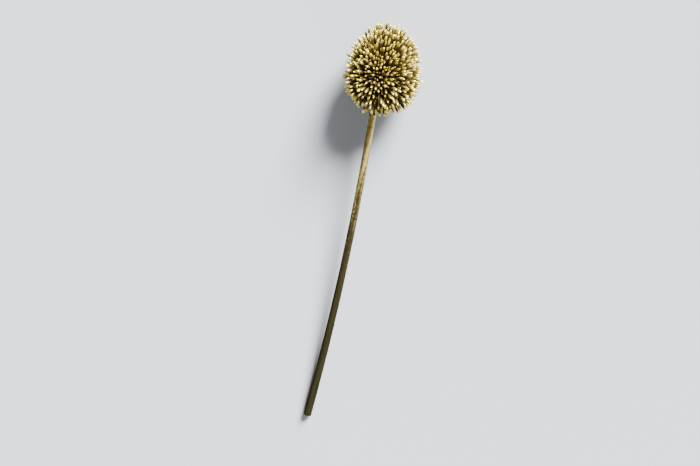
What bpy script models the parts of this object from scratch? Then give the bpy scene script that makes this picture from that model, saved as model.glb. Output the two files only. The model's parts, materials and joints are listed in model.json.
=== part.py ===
# Drumstick allium flower head: one cut flower in tight bud, lying down
#
# Metres, +Z up. The flower lies along Y, with the cut end of its stem towards -Y
# and its head towards +Y. The origin is on the surface under the middle of the flower.
#
# The head is an umbel: several hundred closed buds, each on a thin pedicel. They grow in
# small clusters, and each cluster shares a cushion that sits on the stem's swollen top.
# Buds that would reach below the surface are pushed in until they lie on it, so the
# flower rests on a small flat patch of buds and on the lower edge of its cut.

import math
import random

import bmesh
import bpy
import numpy as np
from mathutils import Vector

MM = 0.001

# Stem, from its cut to the middle of its swollen top
STEM_LENGTH = 215 * MM
CUT_RADIUS = 2.4 * MM
NECK_RADIUS = 1.9 * MM
STEM_BOW = 3.0 * MM
SHAFT_POINTS = 18
RECEPTACLE_RADIUS = 5.0 * MM
FLARE_LENGTH = 5.5 * MM
DOME_POINTS = 9

# Head, measured from the middle of the stem's swollen top
HEAD_MIDDLE = Vector((-2.45 * MM, 91.15 * MM, 19.5 * MM))
HEAD_TOP = 31.5 * MM
HEAD_SIDE = 20.8 * MM
HEAD_BOTTOM = 21 * MM
HEAD_FOOT = -20.5 * MM
HEAD_WOBBLE = 0.04
HEAD_SHIFT = -2.2 * MM
FLORET_SPACING = 3.2 * MM
CLUSTER_SPACING = 13.3 * MM
GOLDEN_ANGLE = math.pi * (3.0 - math.sqrt(5.0))
FLORET_SEED = 17

# Florets
BUD_LENGTH = 4.9 * MM
BUD_RADIUS = 0.90 * MM
PEDICEL_RADIUS = 0.32 * MM
CLUSTER_PULL = 0.09
SIDE_JITTER = 1.0 * MM
CROWD_ROOM = 2.45 * MM
CROWD_ROUNDS = 12
DEPTH_JITTER = 1.1 * MM
LEAN_JITTER = 0.18
STRAY_SHARE = 0.07
STRAY_REACH = 1.4 * MM
LATE_SHARE = 0.20
LATE_REACH = -3.0 * MM
LATE_SIZE = 0.85

# Cushions that carry the clusters
CUSHION_GAP = 0.3 * MM
CUSHION_RADIUS = 1.25 * MM
CUSHION_HEIGHT = 0.9 * MM
CUSHION_LOWEST = math.radians(130)
FOOT_SPREAD = 0.10

# Spathe valves, folded back along the stem under the head
VALVE_START = -6.2 * MM
VALVE_LENGTH = 16 * MM
VALVE_WIDTH = 5.0 * MM
VALVE_THICKNESS = 0.35 * MM
VALVE_CLEARANCE = 0.3 * MM
VALVE_FLARE = 0.8 * MM
VALVE_TURNS = {"spathe_valve_a": math.radians(35), "spathe_valve_b": math.radians(205)}


def clear_scene():
    for thing in list(bpy.data.objects):
        bpy.data.objects.remove(thing, do_unlink=True)


def make_material(name, colour, roughness, metallic):
    material = bpy.data.materials.new(name)
    material.use_nodes = True
    shader = material.node_tree.nodes["Principled BSDF"]
    shader.inputs["Base Color"].default_value = (*colour, 1.0)
    shader.inputs["Roughness"].default_value = roughness
    shader.inputs["Metallic"].default_value = metallic
    return material


def stem_point(share):
    """The stem's centre line, from the cut (0) to the middle of the swollen top (1)."""
    drop = HEAD_MIDDLE.z - CUT_RADIUS
    run = math.sqrt(STEM_LENGTH**2 - drop**2)
    back = 1.0 - share
    bow = STEM_BOW * 4.0 * share * back
    return HEAD_MIDDLE + Vector((bow, -run * back, -drop * back))


def head_axes():
    """The head's own axes: two across it and the one that its stem points along."""
    along = (stem_point(1.0) - stem_point(0.99)).normalized()
    across = Vector((0.0, 0.0, 1.0)).cross(along).normalized()
    return across, along.cross(across), along


ACROSS, OVER, ALONG = head_axes()


def in_world(point):
    """A point or direction in the head's own axes, turned into the lying flower's."""
    return ACROSS * point.x + OVER * point.y + ALONG * point.z


def egg_point(height, turn):
    """A point where bud tips end: the head is a slightly uneven, lopsided egg."""
    reach = HEAD_TOP if height > 0 else HEAD_BOTTOM
    radius = HEAD_SIDE * math.sqrt(max(0.0, 1.0 - (height / reach) ** 2))
    uneven = math.sin(2.0 * turn + 0.7) + 0.7 * math.sin(3.0 * turn + height / HEAD_SIDE)
    radius *= 1.0 + HEAD_WOBBLE * uneven
    return Vector((HEAD_SHIFT + radius * math.cos(turn), radius * math.sin(turn), height))


def spread_over_egg(spacing):
    """Points about one spacing apart all over the egg, on a golden-angle spiral."""
    points = []
    height = HEAD_TOP
    while True:
        reach = HEAD_TOP if height > 0 else HEAD_BOTTOM
        flatness = 1.0 - (1.0 - (HEAD_SIDE / reach) ** 2) * (height / reach) ** 2
        step = spacing**2 / (2.0 * math.pi * HEAD_SIDE * math.sqrt(flatness))
        if height - step < HEAD_FOOT:
            return points
        points.append(egg_point(height - step / 2.0, len(points) * GOLDEN_ANGLE))
        height -= step


def cushion_direction(index, count):
    """Cushions are spread evenly over the swollen top, in the same order as the clusters."""
    cosine = 1.0 - (1.0 - math.cos(CUSHION_LOWEST)) * (index + 0.5) / count
    sine = math.sqrt(1.0 - cosine * cosine)
    turn = index * GOLDEN_ANGLE
    return Vector((sine * math.cos(turn), sine * math.sin(turn), cosine))


def lift_needed(tip, axis, length, radius):
    """How far a bud sinks below the surface, as an egg of its length and radius."""
    middle = tip - axis * (length / 2.0)
    slope = axis.z**2
    drop = math.sqrt((length / 2.0) ** 2 * slope + radius**2 * (1.0 - slope))
    return drop - middle.z


def push_apart(points):
    """Buds that crowd each other move apart over the egg, as they do while they swell."""
    places = np.array([tuple(point) for point in points])
    for _ in range(CROWD_ROUNDS):
        apart = places[:, None] - places[None]
        gaps = np.linalg.norm(apart, axis=2)
        np.fill_diagonal(gaps, CROWD_ROOM)
        push = np.clip(CROWD_ROOM - gaps, 0.0, None) / gaps / 2.0
        places += (apart * push[:, :, None]).sum(axis=1)
    return [Vector(place) for place in places]


def lay_out_clusters():
    """For each cluster, its cushion's direction and its florets: foot, bud base, tip, size."""
    rng = random.Random(FLORET_SEED)
    centres = spread_over_egg(CLUSTER_SPACING)
    clusters = []
    for index in range(len(centres)):
        direction = cushion_direction(index, len(centres))
        clusters.append({"direction": in_world(direction), "florets": []})
    points = []
    habits = []
    for point in spread_over_egg(FLORET_SPACING):
        sway = [rng.uniform(-1.0, 1.0) for _ in range(6)]
        size = rng.uniform(0.88, 1.08)
        age = rng.random()
        home = min(range(len(centres)), key=lambda i: (centres[i] - point).length)
        point = point.lerp(centres[home], CLUSTER_PULL)
        outward = point.normalized()
        side = outward.orthogonal().normalized()
        point += (side * sway[0] + outward.cross(side) * sway[1]) * SIDE_JITTER
        points.append(point)
        habits.append((home, sway, size, age))
    for point, (home, sway, size, age) in zip(push_apart(points), habits):
        outward = point.normalized()
        point += outward * sway[2] * DEPTH_JITTER
        if age < STRAY_SHARE:
            point += outward * STRAY_REACH
        elif age > 1.0 - LATE_SHARE:
            point += outward * LATE_REACH * (1.0 + 0.8 * sway[2])
            size *= LATE_SIZE
        offset = in_world(point - centres[home])
        cushion = clusters[home]["direction"]
        foot = cushion * (RECEPTACLE_RADIUS + CUSHION_GAP + CUSHION_HEIGHT / 2.0)
        foot += (offset - cushion * offset.dot(cushion)) * FOOT_SPREAD
        foot += HEAD_MIDDLE
        tip = HEAD_MIDDLE + in_world(point)
        straight = (tip - foot).normalized()
        axis = straight + in_world(outward)
        axis += (ACROSS * sway[3] + OVER * sway[4] + ALONG * sway[5]) * LEAN_JITTER
        axis.normalize()
        length = BUD_LENGTH * size
        radius = BUD_RADIUS * size
        sunk = lift_needed(tip, axis, length, radius)
        if sunk > 0.0:
            tip += axis * (sunk / axis.z)
        clusters[home]["florets"].append((foot, tip - axis * length, tip, radius))
    return clusters


def mesh_from_curve(curve):
    """A curve's swept surface as a closed mesh, its caps welded on."""
    carrier = bpy.data.objects.new(curve.name, curve)
    bpy.context.scene.collection.objects.link(carrier)
    bpy.context.view_layer.update()
    evaluated = carrier.evaluated_get(bpy.context.evaluated_depsgraph_get())
    mesh = bpy.data.meshes.new_from_object(evaluated)
    bpy.data.objects.remove(carrier, do_unlink=True)
    shape = bmesh.new()
    shape.from_mesh(mesh)
    bmesh.ops.remove_doubles(shape, verts=shape.verts, dist=0.00001)
    bmesh.ops.recalc_face_normals(shape, faces=shape.faces)
    shape.to_mesh(mesh)
    shape.free()
    return mesh


def add_tube(curve, points, radii):
    """One stretch of round tube on a curve, with its own radius at each point."""
    spline = curve.splines.new("POLY")
    spline.points.add(len(points) - 1)
    for target, point, radius in zip(spline.points, points, radii):
        target.co = (*point, 1.0)
        target.radius = radius / MM


def new_tube_curve(name, resolution):
    curve = bpy.data.curves.new(name, "CURVE")
    curve.dimensions = "3D"
    curve.bevel_depth = MM
    curve.bevel_resolution = resolution
    curve.use_fill_caps = True
    return curve


def finish_piece(name, mesh, material, collection):
    """Puts a finished mesh in the scene as one named piece, shaded smooth."""
    mesh.name = name
    mesh.materials.clear()
    mesh.materials.append(material)
    mesh.shade_smooth()
    mesh.set_sharp_from_angle(angle=math.radians(50))
    piece = bpy.data.objects.new(name, mesh)
    collection.objects.link(piece)
    return piece


def make_stem(material, collection):
    """The stem and its swollen top, one solid because they grew as one."""
    shaft_end = 1.0 - FLARE_LENGTH / STEM_LENGTH
    points = []
    radii = []
    for i in range(SHAFT_POINTS):
        share = shaft_end * i / SHAFT_POINTS
        points.append(stem_point(share))
        radii.append(CUT_RADIUS + (NECK_RADIUS - CUT_RADIUS) * share)
    for i in range(DOME_POINTS):
        swing = math.pi * (i / (DOME_POINTS - 0.5) - 0.5)
        if swing < 0.0:
            along = FLARE_LENGTH * math.sin(swing)
            swell = 0.5 + 0.5 * math.cos(math.pi * along / FLARE_LENGTH)
            radii.append(NECK_RADIUS + (RECEPTACLE_RADIUS - NECK_RADIUS) * swell)
        else:
            along = RECEPTACLE_RADIUS * math.sin(swing)
            radii.append(RECEPTACLE_RADIUS * math.cos(swing))
        points.append(HEAD_MIDDLE + ALONG * along)
    curve = new_tube_curve("stem", 4)
    add_tube(curve, points, radii)
    return finish_piece("stem", mesh_from_curve(curve), material, collection)


def make_valve(name, turn, material, collection):
    """A papery bract: a narrow curved blade that ends in a long beak."""
    rows = 9
    columns = 5
    shape = bmesh.new()
    grid = []
    for i in range(rows):
        share = i / (rows - 1)
        height = VALVE_START - VALVE_LENGTH * share
        off_stem = NECK_RADIUS + VALVE_CLEARANCE + VALVE_FLARE * share**1.5
        width = VALVE_WIDTH * (0.55 + 1.6 * share) * (1.0 - share) ** 1.3 + 0.3 * MM
        spread = width / off_stem / 2.0
        row = []
        for j in range(columns):
            angle = turn + spread * (2.0 * j / (columns - 1) - 1.0)
            local = Vector((math.cos(angle) * off_stem, math.sin(angle) * off_stem, height))
            row.append(shape.verts.new(HEAD_MIDDLE + in_world(local)))
        grid.append(row)
    for upper, lower in zip(grid, grid[1:]):
        for j in range(columns - 1):
            shape.faces.new((upper[j], lower[j], lower[j + 1], upper[j + 1]))
    mesh = bpy.data.meshes.new(name)
    shape.to_mesh(mesh)
    shape.free()
    piece = finish_piece(name, mesh, material, collection)
    wall = piece.modifiers.new("wall", "SOLIDIFY")
    wall.thickness = VALVE_THICKNESS
    wall.offset = 1.0
    return piece


def make_cushion(direction):
    """The low round cushion of one cluster, just clear of the swollen top."""
    shape = bmesh.new()
    bmesh.ops.create_cone(
        shape,
        cap_ends=True,
        segments=8,
        radius1=CUSHION_RADIUS,
        radius2=CUSHION_RADIUS * 0.9,
        depth=CUSHION_HEIGHT,
    )
    mesh = bpy.data.meshes.new("cushion")
    shape.to_mesh(mesh)
    shape.free()
    middle = RECEPTACLE_RADIUS + CUSHION_GAP + CUSHION_HEIGHT / 2.0
    placed = direction.to_track_quat("Z", "Y").to_matrix().to_4x4()
    placed.translation = HEAD_MIDDLE + direction * middle
    mesh.transform(placed)
    return mesh


def make_cluster(name, cluster, material, collection):
    """Buds and pedicels of one cluster, joined to their cushion as one solid."""
    curve = new_tube_curve(name, 0)
    for foot, base, tip, radius in cluster["florets"]:
        points = [foot, base, base.lerp(tip, 0.46), tip]
        radii = [PEDICEL_RADIUS, PEDICEL_RADIUS, radius, radius * 0.42]
        add_tube(curve, points, radii)
    florets = bpy.data.objects.new(name + "_florets", mesh_from_curve(curve))
    cushion = bpy.data.objects.new(name + "_cushion", make_cushion(cluster["direction"]))
    for part in (florets, cushion):
        bpy.context.scene.collection.objects.link(part)
    join = cushion.modifiers.new("join", "BOOLEAN")
    join.operation = "UNION"
    join.use_self = True
    join.object = florets
    bpy.context.view_layer.update()
    evaluated = cushion.evaluated_get(bpy.context.evaluated_depsgraph_get())
    mesh = bpy.data.meshes.new_from_object(evaluated)
    for part in (florets, cushion):
        bpy.data.objects.remove(part, do_unlink=True)
    return finish_piece(name, mesh, material, collection)


def build():
    clear_scene()
    flower = bpy.data.collections.new("drumstick_allium_flower")
    bpy.context.scene.collection.children.link(flower)
    stem_skin = make_material("gilded_stem", (0.36, 0.31, 0.13), 0.45, 0.2)
    bract_skin = make_material("gilded_bract", (0.42, 0.34, 0.16), 0.55, 0.2)
    bud_skin = make_material("gilded_bud", (0.62, 0.50, 0.25), 0.40, 0.3)
    make_stem(stem_skin, flower)
    for name, turn in VALVE_TURNS.items():
        make_valve(name, turn, bract_skin, flower)
    for number, cluster in enumerate(lay_out_clusters(), start=1):
        make_cluster(f"floret_cluster_{number:02d}", cluster, bud_skin, flower)


build()
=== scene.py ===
# %% [markdown]
# # A drumstick allium flower head
# This script builds one cut flower, still in tight bud, lying on a pale floor. The real
# flower is an umbel: a smooth bare stem ends in a swollen knob, and on that knob stands a
# ball of several hundred buds, each on its own stalk, a pedicel thinner than a pencil lead.
# The flower has been sprayed gold over its natural green and brown.
#
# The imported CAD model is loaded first. It is in metres, it lies along Y with its head
# towards +Y, and it is never moved. Every piece made below takes the place of a CAD solid.

# %% Load the frame
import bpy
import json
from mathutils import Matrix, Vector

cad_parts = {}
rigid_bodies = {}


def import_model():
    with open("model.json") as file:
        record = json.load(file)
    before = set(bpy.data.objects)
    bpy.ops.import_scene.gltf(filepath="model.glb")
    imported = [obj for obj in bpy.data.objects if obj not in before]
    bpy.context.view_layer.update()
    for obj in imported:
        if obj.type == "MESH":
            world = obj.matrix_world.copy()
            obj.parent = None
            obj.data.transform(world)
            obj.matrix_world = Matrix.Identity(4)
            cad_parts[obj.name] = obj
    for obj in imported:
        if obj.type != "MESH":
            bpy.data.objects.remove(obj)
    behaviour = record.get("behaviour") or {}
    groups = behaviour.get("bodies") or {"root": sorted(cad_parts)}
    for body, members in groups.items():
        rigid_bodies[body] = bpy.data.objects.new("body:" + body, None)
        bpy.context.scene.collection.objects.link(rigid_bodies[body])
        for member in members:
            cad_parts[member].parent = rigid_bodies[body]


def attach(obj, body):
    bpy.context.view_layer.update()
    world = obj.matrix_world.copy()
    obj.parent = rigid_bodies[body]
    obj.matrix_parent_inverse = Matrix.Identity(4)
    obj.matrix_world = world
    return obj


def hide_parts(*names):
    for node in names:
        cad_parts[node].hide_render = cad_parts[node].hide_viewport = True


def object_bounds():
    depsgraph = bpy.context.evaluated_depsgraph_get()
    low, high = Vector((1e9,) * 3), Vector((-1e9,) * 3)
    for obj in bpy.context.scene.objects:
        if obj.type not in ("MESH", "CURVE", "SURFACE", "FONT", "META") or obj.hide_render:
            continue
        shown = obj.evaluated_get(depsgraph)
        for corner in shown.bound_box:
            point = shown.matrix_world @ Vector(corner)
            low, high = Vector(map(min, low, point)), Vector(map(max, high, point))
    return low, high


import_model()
CAD_BOX = [list(corner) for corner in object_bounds()]

import json
import math
import random

import bmesh
import bpy
import numpy as np
from mathutils import Matrix, Vector

MM = 0.001
print("CAD model:", [round((CAD_BOX[1][i] - CAD_BOX[0][i]) / MM, 1) for i in range(3)], "mm")

# %% [markdown]
# ## Where everything grows
# A head like this looks random but follows a rule. Its outline is an egg about the stem's
# axis, and the buds stand nearly evenly over that egg. A golden-angle spiral gives such
# even points without rows. Two spirals are used: a coarse one for the clusters (cymes) that
# the pedicels grow in, and a fine one for the buds, each of which joins its nearest
# cluster. The same rule and the same seed laid out the CAD solids, so the detailed buds
# land exactly where the plain ones are.

# %% The stem's line and the head's own axes
STEM_LENGTH = 215 * MM
STEM_BOW = 3.0 * MM
CUT_RADIUS = 2.4 * MM
HEAD_MIDDLE = Vector((-2.45 * MM, 91.15 * MM, 19.5 * MM))


def stem_point(share):
    """The stem's centre line, from the cut (0) to the middle of the swollen top (1)."""
    drop = HEAD_MIDDLE.z - CUT_RADIUS
    run = math.sqrt(STEM_LENGTH**2 - drop**2)
    back = 1.0 - share
    bow = STEM_BOW * 4.0 * share * back
    return HEAD_MIDDLE + Vector((bow, -run * back, -drop * back))


ALONG = (stem_point(1.0) - stem_point(0.99)).normalized()
ACROSS = Vector((0.0, 0.0, 1.0)).cross(ALONG).normalized()
OVER = ALONG.cross(ACROSS)
print("the stem rises", round(math.degrees(math.asin(ALONG.z)), 1), "degrees into the head")


def in_world(point):
    """A point or direction in the head's own axes, turned into the lying flower's."""
    return ACROSS * point.x + OVER * point.y + ALONG * point.z


# %% Even points over the egg
HEAD_TOP = 31.5 * MM
HEAD_SIDE = 20.8 * MM
HEAD_BOTTOM = 21 * MM
HEAD_FOOT = -20.5 * MM
HEAD_WOBBLE = 0.04
HEAD_SHIFT = -2.2 * MM
GOLDEN_ANGLE = math.pi * (3.0 - math.sqrt(5.0))
CLUSTER_SPACING = 13.3 * MM


def egg_point(height, turn):
    """A point where bud tips end: the head is a slightly uneven, lopsided egg."""
    reach = HEAD_TOP if height > 0 else HEAD_BOTTOM
    radius = HEAD_SIDE * math.sqrt(max(0.0, 1.0 - (height / reach) ** 2))
    uneven = math.sin(2.0 * turn + 0.7) + 0.7 * math.sin(3.0 * turn + height / HEAD_SIDE)
    radius *= 1.0 + HEAD_WOBBLE * uneven
    return Vector((HEAD_SHIFT + radius * math.cos(turn), radius * math.sin(turn), height))


def spread_over_egg(spacing):
    """Points about one spacing apart all over the egg, on a golden-angle spiral."""
    points = []
    height = HEAD_TOP
    while True:
        reach = HEAD_TOP if height > 0 else HEAD_BOTTOM
        flatness = 1.0 - (1.0 - (HEAD_SIDE / reach) ** 2) * (height / reach) ** 2
        step = spacing**2 / (2.0 * math.pi * HEAD_SIDE * math.sqrt(flatness))
        if height - step < HEAD_FOOT:
            return points
        points.append(egg_point(height - step / 2.0, len(points) * GOLDEN_ANGLE))
        height -= step


CENTRES = spread_over_egg(CLUSTER_SPACING)
print("the egg is", round((HEAD_TOP - HEAD_FOOT) / MM, 1), "mm long where buds stand")
print(len(CENTRES), "clusters fit over it")

# %% [markdown]
# ## Where each bud ends
# Even points alone would look stamped. So each tip is drawn a little towards its cluster's
# middle and sways sideways, and tips that crowd push each other away. A few strays reach out
# past the outline, and some late buds stay lower and smaller. The buds under the head are
# drawn in until they lie on the floor, because the springy pedicels give under its weight.

# %% Scatter the bud tips over the egg
FLORET_SEED = 17
FLORET_SPACING = 3.2 * MM
BUD_SIZE = (0.88, 1.08)
CLUSTER_PULL = 0.09
SIDE_JITTER = 1.0 * MM
CROWD_ROOM = 2.45 * MM
CROWD_ROUNDS = 12


def nearest(places, point):
    """Which of the places lies nearest to the point."""
    return min(range(len(places)), key=lambda i: (places[i] - point).length)


def push_apart(points):
    """Buds that crowd each other move apart over the egg, as they do while they swell."""
    places = np.array([tuple(point) for point in points])
    for _ in range(CROWD_ROUNDS):
        apart = places[:, None] - places[None]
        gaps = np.linalg.norm(apart, axis=2)
        np.fill_diagonal(gaps, CROWD_ROOM)
        push = np.clip(CROWD_ROOM - gaps, 0.0, None) / gaps / 2.0
        places += (apart * push[:, :, None]).sum(axis=1)
    return [Vector(place) for place in places]


def scatter_tips():
    """Where the bud tips end, and each one's home cluster, sway, size and age."""
    rng = random.Random(FLORET_SEED)
    points = []
    habits = []
    for point in spread_over_egg(FLORET_SPACING):
        sway = [rng.uniform(-1.0, 1.0) for _ in range(6)]
        size = rng.uniform(*BUD_SIZE)
        age = rng.random()
        home = nearest(CENTRES, point)
        point = point.lerp(CENTRES[home], CLUSTER_PULL)
        outward = point.normalized()
        side = outward.orthogonal().normalized()
        point += (side * sway[0] + outward.cross(side) * sway[1]) * SIDE_JITTER
        points.append(point)
        habits.append((home, sway, size, age))
    return list(zip(push_apart(points), habits))


TIPS = scatter_tips()
print(len(TIPS), "bud tips")

# %% Cushions, and buds that must not sink into the floor
CUSHION_LOWEST = math.radians(130)


def cushion_direction(index, count):
    """Cushions are spread evenly over the swollen top, in the same order as the clusters."""
    cosine = 1.0 - (1.0 - math.cos(CUSHION_LOWEST)) * (index + 0.5) / count
    sine = math.sqrt(1.0 - cosine * cosine)
    turn = index * GOLDEN_ANGLE
    return Vector((sine * math.cos(turn), sine * math.sin(turn), cosine))


def lifted(tip, axis, length, radius):
    """The tip, drawn in along the bud's axis until the bud, an egg, clears the floor."""
    middle = tip - axis * (length / 2.0)
    slope = axis.z**2
    drop = math.sqrt((length / 2.0) ** 2 * slope + radius**2 * (1.0 - slope))
    sunk = drop - middle.z
    return tip + axis * (sunk / axis.z) if sunk > 0.0 else tip


# %% Lay out every floret
RECEPTACLE_RADIUS = 5.0 * MM
CUSHION_GAP = 0.3 * MM
CUSHION_HEIGHT = 0.9 * MM
FOOT_SPREAD = 0.10
BUD_LENGTH = 4.9 * MM
BUD_RADIUS = 0.90 * MM
DEPTH_JITTER = 1.1 * MM
LEAN_JITTER = 0.18
STRAY_SHARE = 0.07
STRAY_REACH = 1.4 * MM
LATE_SHARE = 0.20
LATE_REACH = -3.0 * MM
LATE_SPREAD = 0.8
LATE_SIZE = 0.85


def lay_out_clusters():
    """For each cluster, its cushion's direction and its florets.

    A floret is its foot, its bud's base, tip and radius, and how sheltered it stands: 0 for
    a bud at the outline, 1 for the deepest young one.
    """
    clusters = []
    for index in range(len(CENTRES)):
        direction = cushion_direction(index, len(CENTRES))
        clusters.append({"direction": in_world(direction), "florets": []})
    for point, (home, sway, size, age) in TIPS:
        outward = point.normalized()
        point = point + outward * sway[2] * DEPTH_JITTER
        if age < STRAY_SHARE:
            point += outward * STRAY_REACH
        elif age > 1.0 - LATE_SHARE:
            point += outward * LATE_REACH * (1.0 + LATE_SPREAD * sway[2])
            size *= LATE_SIZE
        offset = in_world(point - CENTRES[home])
        cushion = clusters[home]["direction"]
        foot = cushion * (RECEPTACLE_RADIUS + CUSHION_GAP + CUSHION_HEIGHT / 2.0)
        foot += (offset - cushion * offset.dot(cushion)) * FOOT_SPREAD
        foot += HEAD_MIDDLE
        tip = HEAD_MIDDLE + in_world(point)
        straight = (tip - foot).normalized()
        axis = straight + in_world(outward)
        axis += (ACROSS * sway[3] + OVER * sway[4] + ALONG * sway[5]) * LEAN_JITTER
        axis.normalize()
        length = BUD_LENGTH * size
        radius = BUD_RADIUS * size
        tip = lifted(tip, axis, length, radius)
        clusters[home]["florets"].append((foot, tip - axis * length, tip, radius, 0.0))
    return clusters


CLUSTERS = lay_out_clusters()
print(len(CLUSTERS), "clusters,", sum(len(c["florets"]) for c in CLUSTERS), "florets")

# %% [markdown]
# ## Young buds between the others
# In such a head the buds don't all reach the outline. Younger and smaller ones stand lower
# down, on shorter pedicels, and show as dim dots in the gaps between the others. They are
# too many for the plain CAD solids, so only the detailed clusters have them.

# %% Fill the gaps with young buds
YOUNG_SEED = 5
YOUNG_GRID = 1.3 * MM
YOUNG_ROOM = 1.5 * MM
YOUNG_DEPTH = (2.2 * MM, 5.5 * MM)
YOUNG_SIZE = (0.62, 0.86)


def add_young_buds(clusters):
    """Adds a floret wherever the directions of all others leave enough room."""
    rng = random.Random(YOUNG_SEED)
    tips = [tip for cluster in clusters for _, _, tip, _, _ in cluster["florets"]]
    taken = [(tip - HEAD_MIDDLE).normalized() for tip in tips]
    for point in spread_over_egg(YOUNG_GRID):
        place = in_world(point)
        outward = place.normalized()
        if min((outward - other).length for other in taken) * place.length < YOUNG_ROOM:
            continue
        taken.append(outward)
        home = nearest(CENTRES, point)
        foot = HEAD_MIDDLE + clusters[home]["direction"] * (RECEPTACLE_RADIUS + CUSHION_GAP)
        depth = rng.uniform(*YOUNG_DEPTH)
        tip = HEAD_MIDDLE + place - outward * depth
        axis = ((tip - foot).normalized() + outward).normalized()
        size = rng.uniform(*YOUNG_SIZE)
        length = BUD_LENGTH * size
        radius = BUD_RADIUS * size
        tip = lifted(tip, axis, length, radius)
        shelter = depth / YOUNG_DEPTH[1]
        clusters[home]["florets"].append((foot, tip - axis * length, tip, radius, shelter))


add_young_buds(CLUSTERS)
print("with the young ones", sum(len(c["florets"]) for c in CLUSTERS), "florets")

# %% [markdown]
# ## Gold paint as a node group
# Spray paint reaches what faces the can. It covers bud tips thickly, thins out over the
# flanks, and breaks up into a fine mist of dots before it ends. All three gilded finishes
# of this flower need that same edge, so it is one node group: a cover value goes in, noise
# frays it, and colour, metal, roughness and height come out. A painted image would do it
# too, but noise in object space has no seams and stays sharp close up.


# %% Small helpers for node trees
def add_node(tree, kind, **settings):
    """A node, with its settings, and with values for the inputs named in the inputs setting."""
    node = tree.nodes.new(kind)
    for key, value in settings.pop("inputs", {}).items():
        node.inputs[key].default_value = value
    for key, value in settings.items():
        setattr(node, key, value)
    return node


def math_node(tree, operation, first, second=None, third=None):
    """A Math node fed by sockets or by plain numbers."""
    node = add_node(tree, "ShaderNodeMath", operation=operation)
    for socket, value in zip(node.inputs, (first, second, third)):
        if value is None:
            continue
        if isinstance(value, (int, float)):
            socket.default_value = value
        else:
            tree.links.new(value, socket)
    return node.outputs[0]


def ramp_value(tree, value, from_low, from_high, to_low=0.0, to_high=1.0, smooth=True):
    """A Map Range node: the value's low and high ends become two new numbers."""
    kind = "SMOOTHSTEP" if smooth else "LINEAR"
    names = ("From Min", "From Max", "To Min", "To Max")
    ends = dict(zip(names, (from_low, from_high, to_low, to_high)))
    node = add_node(tree, "ShaderNodeMapRange", interpolation_type=kind, inputs=ends)
    tree.links.new(value, node.inputs["Value"])
    return node.outputs["Result"]


def mix_colours(tree, factor, first, second):
    """A Mix node for colours: factor, first and second are sockets or plain values."""
    node = add_node(tree, "ShaderNodeMix", data_type="RGBA")
    sockets = [node.inputs[index] for index in (0, 6, 7)]
    for socket, value in zip(sockets, (factor, first, second)):
        if isinstance(value, bpy.types.NodeSocket):
            tree.links.new(value, socket)
        elif socket.type == "RGBA":
            socket.default_value = (*value, 1.0)
        else:
            socket.default_value = value
    return node.outputs[2]


NOISE_SPAN = (0.3, 0.7)


def noise(tree, vector, scale, detail=2.0, roughness=0.5):
    """A Noise Texture's value at this many cells a metre, mostly within NOISE_SPAN."""
    values = {"Scale": scale, "Detail": detail, "Roughness": roughness}
    node = add_node(tree, "ShaderNodeTexNoise", inputs=values)
    tree.links.new(vector, node.inputs["Vector"])
    return node.outputs["Fac"]


def object_place(tree):
    """Where a point lies on its own object: the patterns stay put when the flower moves."""
    return tree.nodes.new("ShaderNodeTexCoord").outputs["Object"]


def new_group(name, kind, takes, gives):
    """A node group with named sockets, and the nodes where its values enter and leave."""
    tree = bpy.data.node_groups.new(name, kind)
    for side, sockets in (("INPUT", takes), ("OUTPUT", gives)):
        for socket, holds in sockets.items():
            tree.interface.new_socket(socket, in_out=side, socket_type="NodeSocket" + holds)
    return tree, tree.nodes.new("NodeGroupInput"), tree.nodes.new("NodeGroupOutput")


# %% The gold paint group
PATCH_CELLS = 620.0
MIST_CELLS = 6500.0
CLOUD_CELLS = 260.0
FLAKE_CELLS = 5200.0
PATCH_SHARE = 0.5
MIST_SHARE = 0.7
PAINT_EDGE = (0.98, 1.22)
CLOUD_TONES = (0.86, 1.12)
FLAKE_GLINT_SPAN = (0.80, 0.95)
FLAKE_GLINT_TONES = (0.94, 1.45)
PAINT_METAL = 0.82
BARE_ROUGHNESS = 0.62
PAINT_ROUGHNESS = 0.27
MIST_ROUGHNESS = 0.12
MIST_LIFT = 0.6


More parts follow.
